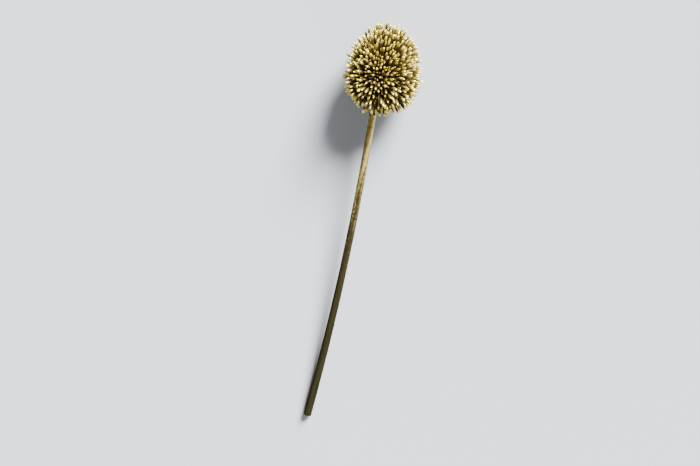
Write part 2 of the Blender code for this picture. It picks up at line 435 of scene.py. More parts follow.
def make_gold_paint():
    """Bare and painted colour, mixed where the frayed cover passes the paint's edge, with tiny
    flecks brightened as painted glints.
    """
    tree, entry, leave = new_group(
        "gold_paint",
        "ShaderNodeTree",
        {"Cover": "Float", "Bare": "Color", "Paint": "Color"},
        {"Color": "Color", "Metallic": "Float", "Roughness": "Float", "Height": "Float"},
    )
    place = object_place(tree)
    patches = noise(tree, place, PATCH_CELLS, 3.0)
    mist = noise(tree, place, MIST_CELLS, 1.0)
    ragged = math_node(tree, "MULTIPLY_ADD", patches, PATCH_SHARE, entry.outputs["Cover"])
    ragged = math_node(tree, "MULTIPLY_ADD", mist, MIST_SHARE, ragged)
    mask = ramp_value(tree, ragged, *PAINT_EDGE)
    clouds = noise(tree, place, CLOUD_CELLS)
    cloudy = ramp_value(tree, clouds, *NOISE_SPAN, *CLOUD_TONES)
    # Flecks where the paint's colour is brightened: painted glints of the metal flakes.
    flake = add_node(tree, "ShaderNodeTexVoronoi", inputs={"Scale": FLAKE_CELLS})
    tree.links.new(place, flake.inputs["Vector"])
    glint = ramp_value(tree, flake.outputs["Color"], *FLAKE_GLINT_SPAN, *FLAKE_GLINT_TONES)
    painted = add_node(tree, "ShaderNodeVectorMath", operation="SCALE")
    tree.links.new(entry.outputs["Paint"], painted.inputs[0])
    tree.links.new(math_node(tree, "MULTIPLY", cloudy, glint), painted.inputs["Scale"])
    colour = mix_colours(tree, mask, entry.outputs["Bare"], painted.outputs[0])
    tree.links.new(colour, leave.inputs["Color"])
    tree.links.new(math_node(tree, "MULTIPLY", mask, PAINT_METAL), leave.inputs["Metallic"])
    rough = ramp_value(tree, mask, 0.0, 1.0, BARE_ROUGHNESS, PAINT_ROUGHNESS, smooth=False)
    rough = math_node(tree, "MULTIPLY_ADD", mist, MIST_ROUGHNESS, rough)
    tree.links.new(rough, leave.inputs["Roughness"])
    height = math_node(tree, "MULTIPLY", mask, math_node(tree, "ADD", mist, MIST_LIFT))
    tree.links.new(height, leave.inputs["Height"])
    return tree


GOLD_PAINT = make_gold_paint()
print("the gold paint group has", len(GOLD_PAINT.nodes), "nodes")

# %% [markdown]
# ## The floret's finish
# One material dresses a whole floret, because the paint runs on from bud to pedicel. It
# reads attributes that the mesh carries. The first, along_floret, is 0 where the pedicel
# leaves its cushion, 1 at the bud's base and 2 at its tip. Deep inside the head no paint
# arrives, and the pedicels stay an olive brown that is darker than their own colour: painted
# shade inside the head. Towards the tips the paint lies thick and pale, and the palest tips
# are also a painted highlight. The next, seam, is 1 in the grooves between the tepals, which
# are painted dark as shade in the grooves. A random tint makes some florets paler than
# others. The head's upper side gets more paint, which also paints its top lighter, as where
# light falls from above. The last, shelter, tells how deep a young bud stands. Low down on
# the head young buds get little paint, and this darker lower side is painted shade, as where
# light comes from above.


# %% A material with the paint group in place
def new_material(name):
    """A new material, its tree and its shader."""
    material = bpy.data.materials.new(name)
    material.use_nodes = True
    tree = material.node_tree
    return material, tree, tree.nodes["Principled BSDF"]


def new_finish(name):
    """A new material, its tree, its shader and a gold paint group wired to that shader."""
    material, tree, shader = new_material(name)
    paint = add_node(tree, "ShaderNodeGroup", node_tree=GOLD_PAINT)
    for socket in ("Metallic", "Roughness"):
        tree.links.new(paint.outputs[socket], shader.inputs[socket])
    return material, tree, shader, paint


def add_bump(tree, shader, height, distance):
    """Turns a height into a bump on the shader; distance is the height of a full step."""
    bump = add_node(tree, "ShaderNodeBump", inputs={"Distance": distance, "Strength": 1.0})
    tree.links.new(height, bump.inputs["Height"])
    tree.links.new(bump.outputs["Normal"], shader.inputs["Normal"])


# %% What the floret's material measures
def from_middle(tree, onto):
    """The direction from the head's middle, measured along another: 1 with it, -1 against it."""
    away = add_node(tree, "ShaderNodeVectorMath", operation="SUBTRACT")
    away.inputs[1].default_value = HEAD_MIDDLE
    tree.links.new(object_place(tree), away.inputs[0])
    unit = add_node(tree, "ShaderNodeVectorMath", operation="NORMALIZE")
    tree.links.new(away.outputs[0], unit.inputs[0])
    dot = add_node(tree, "ShaderNodeVectorMath", operation="DOT_PRODUCT")
    tree.links.new(unit.outputs[0], dot.inputs[0])
    if isinstance(onto, Vector):
        dot.inputs[1].default_value = onto
    else:
        tree.links.new(onto, dot.inputs[1])
    return dot.outputs["Value"]


def read_attribute(tree, name):
    """A number that the mesh carries under this name."""
    return add_node(tree, "ShaderNodeAttribute", attribute_name=name).outputs["Fac"]


# %% The floret's material
# The pedicels' olive brown, darkened as painted shade for the depths of the head.
PEDICEL_BROWN_AND_SHADE = (0.050, 0.029, 0.006)
BUD_OLIVE = (0.085, 0.056, 0.013)
DEEP_GOLD = (0.145, 0.110, 0.035)
WARM_GOLD = (0.28, 0.220, 0.083)
PALE_GOLD_AND_HIGHLIGHT = (1.0, 0.87, 0.185)
DRY_GLOSS = 0.2
PAINT_ARRIVES = (0.90, 1.75)
COVER_ALONG = (-0.35, 0.85)
COVER_OUTWARD = 0.22
TOPWARD_COVER_AND_LIGHT = 0.28
COVER_TINT = 0.16
SHELTER_ENDS = (0.15, 0.9)
SHELTER_LOSS_AND_SHADE = (1.25, 0.1)
OLIVE_ARRIVES = (0.7, 1.5)
PALE_HIGHLIGHT_ARRIVES = (1.35, 1.85)
PALE_TINTS = (0.0, 0.6)
PALE_SHARE = (0.60, 1.0)
SEAM_WIDTH = (0.35, 1.0)
SEAM_SHADE = 0.55
PAINT_BUMP = 0.05 * MM


def floret_cover(tree, along, tint):
    """How much paint arrives: by place on the floret, by the way it faces and by shelter. The top
    and shelter terms also paint the head's top lighter and its lower side darker, as painted light
    and shade.
    """
    cover = ramp_value(tree, along, *PAINT_ARRIVES, *COVER_ALONG, smooth=False)
    surface = tree.nodes.new("ShaderNodeNewGeometry").outputs["Normal"]
    outward = from_middle(tree, surface)
    cover = math_node(tree, "MULTIPLY_ADD", outward, COVER_OUTWARD, cover)
    topward = from_middle(tree, ALONG)
    # More paint on the head's upper side, which also paints its top lighter: painted light from
    # above.
    cover = math_node(tree, "MULTIPLY_ADD", topward, TOPWARD_COVER_AND_LIGHT, cover)
    # Sheltered young buds low on the head lose paint: painted shade on the head's lower side.
    missed_and_shaded = ramp_value(tree, topward, *SHELTER_ENDS, *SHELTER_LOSS_AND_SHADE)
    missed_and_shaded = math_node(tree, "MULTIPLY", missed_and_shaded, read_attribute(tree, "shelter"))
    cover = math_node(tree, "SUBTRACT", cover, missed_and_shaded)
    return math_node(tree, "MULTIPLY_ADD", tint, COVER_TINT, cover)


def make_floret_finish():
    """Olive brown, gilded towards the bud's tip with a painted highlight on the palest tips, and
    painted shade in the grooves between the tepals.
    """
    material, tree, shader, paint = new_finish("gilded_floret")
    shader.inputs["Specular IOR Level"].default_value = DRY_GLOSS
    along = read_attribute(tree, "along_floret")
    seam = read_attribute(tree, "seam")
    tint = read_attribute(tree, "tint")
    tree.links.new(floret_cover(tree, along, tint), paint.inputs["Cover"])
    olive = ramp_value(tree, along, *OLIVE_ARRIVES)
    bare = mix_colours(tree, olive, PEDICEL_BROWN_AND_SHADE, BUD_OLIVE)
    tree.links.new(bare, paint.inputs["Bare"])
    gold = mix_colours(tree, tint, DEEP_GOLD, WARM_GOLD)
    # Towards the tip the gold turns pale: partly thick paint, partly a painted highlight on the
    # rounded tips.
    pale = ramp_value(tree, along, *PALE_HIGHLIGHT_ARRIVES)
    by_tint = ramp_value(tree, tint, *PALE_TINTS, *PALE_SHARE)
    pale = math_node(tree, "MULTIPLY", pale, by_tint)
    gold = mix_colours(tree, pale, gold, PALE_GOLD_AND_HIGHLIGHT)
    tree.links.new(gold, paint.inputs["Paint"])
    # The grooves between the tepals are painted dark: painted shade in the creases.
    groove = ramp_value(tree, seam, *SEAM_WIDTH, 0.0, SEAM_SHADE)
    shaded = mix_colours(tree, groove, paint.outputs["Color"], BUD_OLIVE)
    tree.links.new(shaded, shader.inputs["Base Color"])
    add_bump(tree, shader, paint.outputs["Height"], PAINT_BUMP)
    return material


FLORET_FINISH = make_floret_finish()
print("the floret's material has", len(FLORET_FINISH.node_tree.nodes), "nodes")

# %% [markdown]
# ## Bud shapes
# An allium bud is closed by six tepals: three outer ones, with a keel along the back, and
# three inner ones that show between them. So a cut across it isn't round but six-lobed. The
# tips end blunt, with a small dimple where the tepals meet. A few dozen faces are enough:
# twelve vertices round, every second one in a seam. KEELS gives the radius of four that
# follow each other: an outer keel, a seam, an inner tepal's back and a seam again. There are
# three shapes, a usual one, a plump one and a slim late one, so that the head doesn't look
# stamped. A tree takes them in the order of their names, which a, b and c keep.


# %% A mesh from a bmesh
def as_mesh(shape, name):
    """Turns a bmesh into a mesh with smooth faces, and frees it."""
    for face in shape.faces:
        face.smooth = True
    mesh = bpy.data.meshes.new(name)
    shape.to_mesh(mesh)
    shape.free()
    return mesh


# %% One bud as a mesh of radius 1 and length 1
BUD_SIDES = 12
KEELS = (1.05, 0.90, 0.98, 0.90)
KEEL_GROWTH = 0.5
BASE_KEEL = 0.4
POLE_SEAM = 0.8


def make_bud_shape(name, rings, dimple):
    """rings are (height, radius) pairs from the base up; dimple is the height of the pole."""
    shape = bmesh.new()
    along = shape.verts.layers.float.new("along_floret")
    seam = shape.verts.layers.float.new("seam")
    loops = []
    for height, radius in rings:
        growth = 1.0 + KEEL_GROWTH * min(1.0, BASE_KEEL + height)
        ring = []
        for side in range(BUD_SIDES):
            turn = 2.0 * math.pi * side / BUD_SIDES
            reach = radius * (1.0 + (KEELS[side % len(KEELS)] - 1.0) * growth)
            vert = shape.verts.new((reach * math.cos(turn), reach * math.sin(turn), height))
            vert[along] = 1.0 + height
            vert[seam] = side % 2
            ring.append(vert)
        loops.append(ring)
    for lower, upper in zip(loops, loops[1:]):
        for side in range(BUD_SIDES):
            after = (side + 1) % BUD_SIDES
            shape.faces.new((lower[side], lower[after], upper[after], upper[side]))
    pole = shape.verts.new((0.0, 0.0, dimple))
    pole[along] = 2.0
    pole[seam] = POLE_SEAM
    for side in range(BUD_SIDES):
        shape.faces.new((loops[-1][side], loops[-1][(side + 1) % BUD_SIDES], pole))
    shape.faces.new(list(reversed(loops[0])))
    return as_mesh(shape, name)


# %% The three bud shapes
BUD_RINGS = {
    "bud_a_usual": (((0.02, 0.36), (0.17, 0.80), (0.46, 1.0), (0.74, 0.82), (0.94, 0.42)), 0.955),
    "bud_b_plump": (((0.02, 0.38), (0.15, 0.86), (0.44, 1.08), (0.74, 0.94), (0.95, 0.52)), 0.94),
    "bud_c_slim": (((0.02, 0.34), (0.20, 0.72), (0.46, 0.88), (0.74, 0.66), (0.95, 0.30)), 0.975),
}
BUD_SHAPES = bpy.data.collections.new("bud_shapes")
for bud_name, (bud_rings, bud_dimple) in BUD_RINGS.items():
    bud = bpy.data.objects.new(bud_name, make_bud_shape(bud_name, bud_rings, bud_dimple))
    BUD_SHAPES.objects.link(bud)
    print(bud_name, "has", len(bud.data.polygons), "faces")

# %% [markdown]
# ## A skeleton of lines for each cluster
# Pedicels and buds are grown by Geometry Nodes, which need to know where. The skeleton is a
# mesh without faces: one chain of edges for each pedicel, bent so that it leaves the
# cushion towards its bud and arrives along the bud's own axis. Named attributes on its
# vertices say how thick the pedicel is there, and at the last vertex which bud to set and
# how large. Plain Python is the clearest tool for this, because the layout is Python too.

# %% The line and thickness of one pedicel
PEDICEL_STEPS = 7
PEDICEL_RADIUS = 0.30 * MM
PEDICEL_TOP_SWELL = 0.6
PEDICEL_FOOT_SWELL = 0.25


def pedicel_path(foot, base, axis):
    """Points from the foot to the bud's base, as a Bezier curve that ends along the bud."""
    reach = (base - foot).length
    leave = foot + (base - foot) / 3.0
    arrive = base - axis * (reach / 3.0)
    points = []
    for step in range(PEDICEL_STEPS):
        share = step / (PEDICEL_STEPS - 1)
        back = 1.0 - share
        points.append(
            foot * back**3
            + leave * 3.0 * share * back**2
            + arrive * 3.0 * share**2 * back
            + base * share**3
        )
    return points


def pedicel_radius(share):
    """Thin along its middle, with a swollen top under the bud and a wider foot."""
    swell = PEDICEL_TOP_SWELL * share**8 + PEDICEL_FOOT_SWELL * (1.0 - share) ** 4
    return PEDICEL_RADIUS * (1.0 + swell)


def add_chain(shape, points):
    """Adds a vertex at each point, and an edge from each to the next."""
    chain = [shape.verts.new(point) for point in points]
    for before, after in zip(chain, chain[1:]):
        shape.edges.new((before, after))
    return chain


print("pedicels are", round(2.0 * pedicel_radius(0.5) / MM, 2), "mm thick halfway up")

# %% Build one skeleton
BUD_SEAT = 0.2 * MM
BUD_PLUMPNESS = 0.85
BUD_CHANCES = (6, 3, 2)
CUSHION_RADIUS = 1.25 * MM
NO_SHAPE = -1
CUSHION_KIND = 9


def make_skeleton(name, cluster, rng):
    """The cluster's chains of edges, with what the tree needs to know at each vertex."""
    shape = bmesh.new()
    keys = ("along_floret", "girth", "tint", "shelter", "turn")
    floats = {key: shape.verts.layers.float.new(key) for key in keys}
    kinds = shape.verts.layers.int.new("kind")
    axes = shape.verts.layers.float_vector.new("axis")
    sizes = shape.verts.layers.float_vector.new("size")
    for foot, base, tip, radius, shelter in cluster["florets"]:
        axis = (tip - base).normalized()
        tint = rng.random()
        chain = add_chain(shape, pedicel_path(foot, base + axis * BUD_SEAT, axis))
        for step, vert in enumerate(chain):
            share = step / (PEDICEL_STEPS - 1)
            vert[floats["along_floret"]] = share
            vert[floats["girth"]] = pedicel_radius(share)
            vert[floats["tint"]] = tint
            vert[floats["shelter"]] = shelter
            vert[kinds] = NO_SHAPE
        wide = radius * BUD_PLUMPNESS
        top = chain[-1]
        top[kinds] = rng.choices(range(len(BUD_CHANCES)), BUD_CHANCES)[0]
        top[axes] = axis
        top[sizes] = Vector((wide, wide, (tip - base).length))
        top[floats["turn"]] = rng.uniform(0.0, math.tau)
    hub = shape.verts.new(HEAD_MIDDLE + cluster["direction"] * (RECEPTACLE_RADIUS + CUSHION_GAP))
    hub[kinds] = CUSHION_KIND
    hub[axes] = cluster["direction"]
    hub[sizes] = Vector((CUSHION_RADIUS, CUSHION_RADIUS, CUSHION_HEIGHT))
    return as_mesh(shape, name)


# %% [markdown]
# ## The tree that grows the florets
# Three branches start from the skeleton. Its chains become curves, and a small round
# profile swept along them makes the pedicels. Each vertex that bears a bud gets one of the
# three bud shapes, turned to its axis and scaled. The lone vertex at the cluster's foot
# gets the cushion. Then the instances are made real and get their material, because an
# exported model can't keep instances.


# %% The cushion's shape
def make_cushion_shape():
    """A low dome of radius 1 and height 1, with its flat side down."""
    shape = bmesh.new()
    bmesh.ops.create_uvsphere(shape, u_segments=10, v_segments=6, radius=1.0)
    for vert in shape.verts:
        vert.co.z = max(0.0, vert.co.z)
    bmesh.ops.remove_doubles(shape, verts=shape.verts, dist=0.02)
    return bpy.data.objects.new("cushion_shape", as_mesh(shape, "cushion_shape"))


CUSHION_SHAPE = make_cushion_shape()
print("the cushion has", len(CUSHION_SHAPE.data.polygons), "faces")


# %% Read the skeleton's attributes in a tree
def named(tree, name, kind):
    """Reads a named attribute in a Geometry Nodes tree."""
    values = {"Name": name}
    node = add_node(tree, "GeometryNodeInputNamedAttribute", data_type=kind, inputs=values)
    return node.outputs["Attribute"]


def is_kind(tree, operation, number):
    """Compares each vertex's kind with a number."""
    node = add_node(tree, "FunctionNodeCompare", data_type="INT", operation=operation)
    tree.links.new(named(tree, "kind", "INT"), node.inputs[2])
    node.inputs[3].default_value = number
    return node.outputs[0]


def bears_bud(tree):
    """True where a vertex bears a bud: its kind is the number of a bud shape."""
    both = add_node(tree, "FunctionNodeBooleanMath", operation="AND")
    tree.links.new(is_kind(tree, "GREATER_EQUAL", 0), both.inputs[0])
    tree.links.new(is_kind(tree, "LESS_THAN", len(BUD_RINGS)), both.inputs[1])
    return both.outputs[0]


# %% Set a shape on chosen points
def set_on_points(tree, points, selection, instance, pick):
    """Instances at the selected points, along their axis attribute, in their size."""
    place = add_node(tree, "GeometryNodeInstanceOnPoints")
    upright = add_node(tree, "FunctionNodeAlignRotationToVector", axis="Z")
    tree.links.new(named(tree, "axis", "FLOAT_VECTOR"), upright.inputs["Vector"])
    spin = add_node(tree, "FunctionNodeRotateRotation", rotation_space="LOCAL")
    about = add_node(tree, "FunctionNodeAxisAngleToRotation")
    about.inputs["Axis"].default_value = (0.0, 0.0, 1.0)
    tree.links.new(named(tree, "turn", "FLOAT"), about.inputs["Angle"])
    tree.links.new(upright.outputs[0], spin.inputs["Rotation"])
    tree.links.new(about.outputs[0], spin.inputs["Rotate By"])
    tree.links.new(points, place.inputs["Points"])
    tree.links.new(selection, place.inputs["Selection"])
    tree.links.new(instance, place.inputs["Instance"])
    tree.links.new(spin.outputs[0], place.inputs["Rotation"])
    tree.links.new(named(tree, "size", "FLOAT_VECTOR"), place.inputs["Scale"])
    if pick:
        place.inputs["Pick Instance"].default_value = True
        tree.links.new(named(tree, "kind", "INT"), place.inputs["Instance Index"])
    return place.outputs[0]


# %% Sweep a line, and end a tree
def sweep_line(tree, line, profile, girth):
    """Sweeps a profile of radius 1 along the line's edges, as thick as the girth says."""
    curve = add_node(tree, "GeometryNodeMeshToCurve")
    sweep = add_node(tree, "GeometryNodeCurveToMesh", inputs={"Fill Caps": True})
    tree.links.new(line, curve.inputs["Mesh"])
    tree.links.new(curve.outputs[0], sweep.inputs["Curve"])
    tree.links.new(profile, sweep.inputs["Profile Curve"])
    tree.links.new(girth, sweep.inputs["Scale"])
    return sweep.outputs[0]


def end_tree(tree, grown, finish, leave):
    """Makes the instances real and smooth, gives them their material and puts them out."""
    real = add_node(tree, "GeometryNodeRealizeInstances")
    smooth = add_node(tree, "GeometryNodeSetShadeSmooth")
    dress = add_node(tree, "GeometryNodeSetMaterial")
    tree.links.new(grown, real.inputs[0])
    tree.links.new(real.outputs[0], smooth.inputs[0])
    tree.links.new(smooth.outputs[0], dress.inputs["Geometry"])
    tree.links.new(finish, dress.inputs["Material"])
    tree.links.new(dress.outputs[0], leave.inputs[0])


# %% The floret tree
def make_floret_tree():
    """Pedicels swept along the skeleton, buds on their tops and a cushion at their feet."""
    tree, entry, leave = new_group(
        "grow_florets",
        "GeometryNodeTree",
        {
            "Skeleton": "Geometry",
            "Pedicel Sides": "Int",
            "Pedicel Thickness": "Float",
            "Finish": "Material",
        },
        {"Florets": "Geometry"},
    )
    skeleton = entry.outputs["Skeleton"]
    thickness = entry.outputs["Pedicel Thickness"]
    girth = math_node(tree, "MULTIPLY", named(tree, "girth", "FLOAT"), thickness)
    profile = add_node(tree, "GeometryNodeCurvePrimitiveCircle", inputs={"Radius": 1.0})
    tree.links.new(entry.outputs["Pedicel Sides"], profile.inputs["Resolution"])
    pedicels = sweep_line(tree, skeleton, profile.outputs[0], girth)
    buds = add_node(tree, "GeometryNodeCollectionInfo")
    buds.inputs["Collection"].default_value = BUD_SHAPES
    buds.inputs["Separate Children"].default_value = True
    on_tops = set_on_points(tree, skeleton, bears_bud(tree), buds.outputs[0], pick=True)
    cushion = add_node(tree, "GeometryNodeObjectInfo")
    cushion.inputs["Object"].default_value = CUSHION_SHAPE
    lone = is_kind(tree, "EQUAL", CUSHION_KIND)
    at_foot = set_on_points(tree, skeleton, lone, cushion.outputs["Geometry"], pick=False)
    join = add_node(tree, "GeometryNodeJoinGeometry")
    for part in (pedicels, on_tops, at_foot):
        tree.links.new(part, join.inputs[0])
    end_tree(tree, join.outputs[0], entry.outputs["Finish"], leave)
    return tree


FLORET_TREE = make_floret_tree()
print("the floret tree has", len(FLORET_TREE.nodes), "nodes")


# %% Run a tree and keep what it grows
def put_in_scene(name, data):
    """A new object for this data, linked to the scene."""
    thing = bpy.data.objects.new(name, data)
    bpy.context.scene.collection.objects.link(thing)
    return thing


def set_inputs(modifier, values):
    """Sets a modifier's inputs by the identifiers of the tree's named sockets."""
    for socket in modifier.node_group.interface.items_tree:
        if socket.in_out == "INPUT" and socket.name in values:
            modifier[socket.identifier] = values[socket.name]


def grow(name, mesh, tree, values):
    """Runs a tree on a mesh and returns the result as a plain object without a modifier."""
    carrier = put_in_scene(name + "_carrier", mesh)
    modifier = carrier.modifiers.new("grow", "NODES")
    modifier.node_group = tree
    set_inputs(modifier, values)
    bpy.context.view_layer.update()
    evaluated = carrier.evaluated_get(bpy.context.evaluated_depsgraph_get())
    result = bpy.data.meshes.new_from_object(evaluated)
    bpy.data.objects.remove(carrier, do_unlink=True)
    result.name = name
    return put_in_scene(name, result)


# %% Grow one piece for each cluster
ROOT = "root"
PEDICEL_SIDES = 6
COLOUR_SEED = 23


def claim(piece, slot, *nodes):
    """The piece rides on the flower's one body and stands for these CAD nodes."""
    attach(piece, ROOT)
    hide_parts(*nodes)


colour_rng = random.Random(COLOUR_SEED)
faces = 0
for number, cluster in enumerate(CLUSTERS, start=1):
    skeleton = make_skeleton(f"skeleton_{number:02d}", cluster, colour_rng)
    florets = grow(
        f"florets_{number:02d}",
        skeleton,
        FLORET_TREE,
        {"Pedicel Sides": PEDICEL_SIDES, "Pedicel Thickness": 1.0, "Finish": FLORET_FINISH},
    )
    claim(florets, "bud_gilding", f"floret_cluster_{number:02d}")
    faces += len(florets.data.polygons)
print("the florets have", faces, "faces in", len(CLUSTERS), "pieces")

# %% [markdown]
# ## The stem
# The stem is one smooth round stalk that swells into the knob which carries the head. The
# real one has faint ribs along it, is a touch thicker at the cut, and isn't perfectly
# straight. A profile swept along a line is made for this: the line repeats the CAD stem's,
# a ribbed circle is the profile, and the radius changes along the line. The cut end is
# finished by hand, since a tree is no help for a single face.

# %% The stem's line, with its thickness
NECK_RADIUS = 1.9 * MM
FLARE_LENGTH = 5.5 * MM
STEM_STEPS = 120
FLARE_STEPS = 12
DOME_STEPS = 12
LONG_SWELLS = (0.010, 37.0)
SHORT_SWELLS = (0.008, 91.0)
SWELLS_START = 1.0 / 12.0
DOME_END = 0.4


def shaft_radius(share):
    """The shaft tapers evenly, with faint swells that grow from nothing at the cut."""
    long_swell = LONG_SWELLS[0] * math.sin(share * LONG_SWELLS[1])
    short_swell = SHORT_SWELLS[0] * math.sin(share * SHORT_SWELLS[1] + 1.0)
    taper = CUT_RADIUS + (NECK_RADIUS - CUT_RADIUS) * share
    return taper * (1.0 + (long_swell + short_swell) * min(1.0, share / SWELLS_START))


def make_stem_line():
    """The stem's centre line as a chain of edges, with its radius at each vertex."""
    points = []
    shaft_end = 1.0 - FLARE_LENGTH / STEM_LENGTH
    for step in range(STEM_STEPS):
        share = shaft_end * step / STEM_STEPS
        points.append((stem_point(share), shaft_radius(share)))
    for step in range(FLARE_STEPS):
        share = step / FLARE_STEPS
        along = -FLARE_LENGTH * (1.0 - share)
        swell = 0.5 + 0.5 * math.cos(math.pi * along / FLARE_LENGTH)
        radius = NECK_RADIUS + (RECEPTACLE_RADIUS - NECK_RADIUS) * swell
        points.append((HEAD_MIDDLE + ALONG * along, radius))
    for step in range(DOME_STEPS):
        swing = 0.5 * math.pi * step / (DOME_STEPS - DOME_END)
        along = RECEPTACLE_RADIUS * math.sin(swing)
        points.append((HEAD_MIDDLE + ALONG * along, RECEPTACLE_RADIUS * math.cos(swing)))
    shape = bmesh.new()
    girth = shape.verts.layers.float.new("girth")
    chain = add_chain(shape, [point for point, _ in points])
    for vert, (_, radius) in zip(chain, points):
        vert[girth] = radius
    return as_mesh(shape, "stem_line")


# %% The stem tree
def make_stem_tree():
    """A circle with ribs, swept along the stem's line."""
    tree, entry, leave = new_group(
        "sweep_stem",
        "GeometryNodeTree",
        {
            "Line": "Geometry",
            "Sides": "Int",
            "Ribs": "Float",
            "Rib Depth": "Float",
            "Finish": "Material",
        },
        {"Stem": "Geometry"},
    )
    profile = add_node(tree, "GeometryNodeCurvePrimitiveCircle", inputs={"Radius": 1.0})
    tree.links.new(entry.outputs["Sides"], profile.inputs["Resolution"])
    turn = add_node(tree, "GeometryNodeSplineParameter").outputs["Factor"]
    wave = math_node(tree, "MULTIPLY", turn, math.tau)
    wave = math_node(tree, "SINE", math_node(tree, "MULTIPLY", wave, entry.outputs["Ribs"]))
    rib = math_node(tree, "MULTIPLY_ADD", wave, entry.outputs["Rib Depth"], 1.0)
    move = add_node(tree, "GeometryNodeSetPosition")
    ribbed = add_node(tree, "ShaderNodeVectorMath", operation="SCALE")
    tree.links.new(add_node(tree, "GeometryNodeInputPosition").outputs[0], ribbed.inputs[0])
    tree.links.new(rib, ribbed.inputs["Scale"])
    tree.links.new(profile.outputs[0], move.inputs["Geometry"])
    tree.links.new(ribbed.outputs[0], move.inputs["Position"])
    girth = named(tree, "girth", "FLOAT")
    stalk = sweep_line(tree, entry.outputs["Line"], move.outputs[0], girth)
    end_tree(tree, stalk, entry.outputs["Finish"], leave)
    return tree


STEM_TREE = make_stem_tree()
print("the stem tree has", len(STEM_TREE.nodes), "nodes")

# %% [markdown]
# ## The stem's finish
# Near the head the stem is gold. Further down the paint thins out, and at the cut it is a dull
# green. The bare olive and green are darker than the stem's own colour, and darkest towards
# the cut: painted shade. Inside the head no paint reaches it, and there it is painted the
# pedicels' dark brown as shade. Fine streaks run along it: they are noise that is stretched
# about eighty times along Y, the way the stem lies. Broader streaks among them are painted
# highlight and shade lines along the stem.


# %% Noise drawn out into streaks
def along_stem(tree, squeeze):
    """Object coordinates squeezed along Y, which draws noise out along the stem."""
    node = add_node(tree, "ShaderNodeMapping", inputs={"Scale": (1.0, squeeze, 1.0)})
    tree.links.new(object_place(tree), node.inputs["Vector"])
    return node.outputs[0]


# %% The stem's material
# The bare green and olive are darker than the stem's own colour: painted shade, darkest towards
# the cut.
STEM_GREEN_AND_SHADE = (0.008, 0.012, 0.005)
STEM_OLIVE = (0.018, 0.0150, 0.0070)
STEM_GOLD = (0.21, 0.160, 0.045)
STEM_PALE_SHEEN = (0.64, 0.53, 0.20)
PAINT_FADES = (-0.10, 0.065)
SHADED_GREEN_FADES = (-0.10, 0.02)
UNPAINTED_SHADE_IN_HEAD = (HEAD_MIDDLE.y - 14 * MM, HEAD_MIDDLE.y - 5 * MM)
STREAK_SQUEEZE = 0.012
FINE_STREAKS = 1500.0
BROAD_SHEEN_STREAKS = 480.0
BROAD_SHARE = 0.6
STEM_COVER = (-0.38, 0.42)
STREAK_COVER = 0.45
SHEEN_STREAK_SPAN = (0.42, 0.58)
STREAK_BUMP = 1.5


def make_stem_finish():
    """Streaky gold near the head that thins out over olive and dull green, darkened towards the
    cut and inside the head as painted shade, with painted highlight streaks along it.
    """
    material, tree, shader, paint = new_finish("gilded_stem")
    shader.inputs["Specular IOR Level"].default_value = 0.0
    streaky = along_stem(tree, STREAK_SQUEEZE)
    fine = noise(tree, streaky, FINE_STREAKS, 3.0, 0.6)
    broad = noise(tree, streaky, BROAD_SHEEN_STREAKS, 1.0)
    streaks = math_node(tree, "MULTIPLY", fine, 1.0 - BROAD_SHARE)
    streaks = math_node(tree, "MULTIPLY_ADD", broad, BROAD_SHARE, streaks)
    apart = add_node(tree, "ShaderNodeSeparateXYZ")
    tree.links.new(object_place(tree), apart.inputs[0])
    along = apart.outputs["Y"]
    cover = ramp_value(tree, along, *PAINT_FADES, *STEM_COVER, smooth=False)
    cover = math_node(tree, "MULTIPLY_ADD", streaks, STREAK_COVER, cover)
    # Inside the head the stem gets no paint and is painted the pedicels' dark brown: painted
    # shade.
    inside_head = ramp_value(tree, along, *UNPAINTED_SHADE_IN_HEAD)
    cover = math_node(tree, "SUBTRACT", cover, inside_head)
    tree.links.new(cover, paint.inputs["Cover"])
    # The bare stem gets darker towards the cut: painted shade.
    bare = mix_colours(tree, ramp_value(tree, along, *SHADED_GREEN_FADES), STEM_GREEN_AND_SHADE, STEM_OLIVE)
    # Pale streaks along the stem: partly streaky paint, partly painted highlight lines.
    light = ramp_value(tree, streaks, *SHEEN_STREAK_SPAN)
    bare = mix_colours(tree, light, bare, STEM_OLIVE)
    tree.links.new(mix_colours(tree, inside_head, bare, PEDICEL_BROWN_AND_SHADE), paint.inputs["Bare"])
    gold = mix_colours(tree, light, STEM_GOLD, STEM_PALE_SHEEN)
    tree.links.new(gold, paint.inputs["Paint"])
    tree.links.new(paint.outputs["Color"], shader.inputs["Base Color"])
    relief = math_node(tree, "MULTIPLY_ADD", fine, STREAK_BUMP, paint.outputs["Height"])
    add_bump(tree, shader, relief, PAINT_BUMP)
    return material


STEM_FINISH = make_stem_finish()
print("the stem's material has", len(STEM_FINISH.node_tree.nodes), "nodes")

# %% The fresh cut's material
FLESH = (0.52, 0.56, 0.30)
PITH = (0.72, 0.74, 0.52)
SKIN_RIM = (0.10, 0.13, 0.04)
STRAND_CELLS = 1900.0
STRAND_EDGE = (0.16, 0.30)
STRANDS_START = (0.45, 0.60)
STRANDS_END = (0.78, 0.90)
PITH_EDGE = (0.25, 0.55)
RIM_EDGE = (0.86, 0.97)
DAMP_CELLS = 3000.0
DAMP_ROUGHNESS = (0.35, 0.6)
GRAIN_CELLS = 5000.0
CUT_BUMP = 0.08 * MM


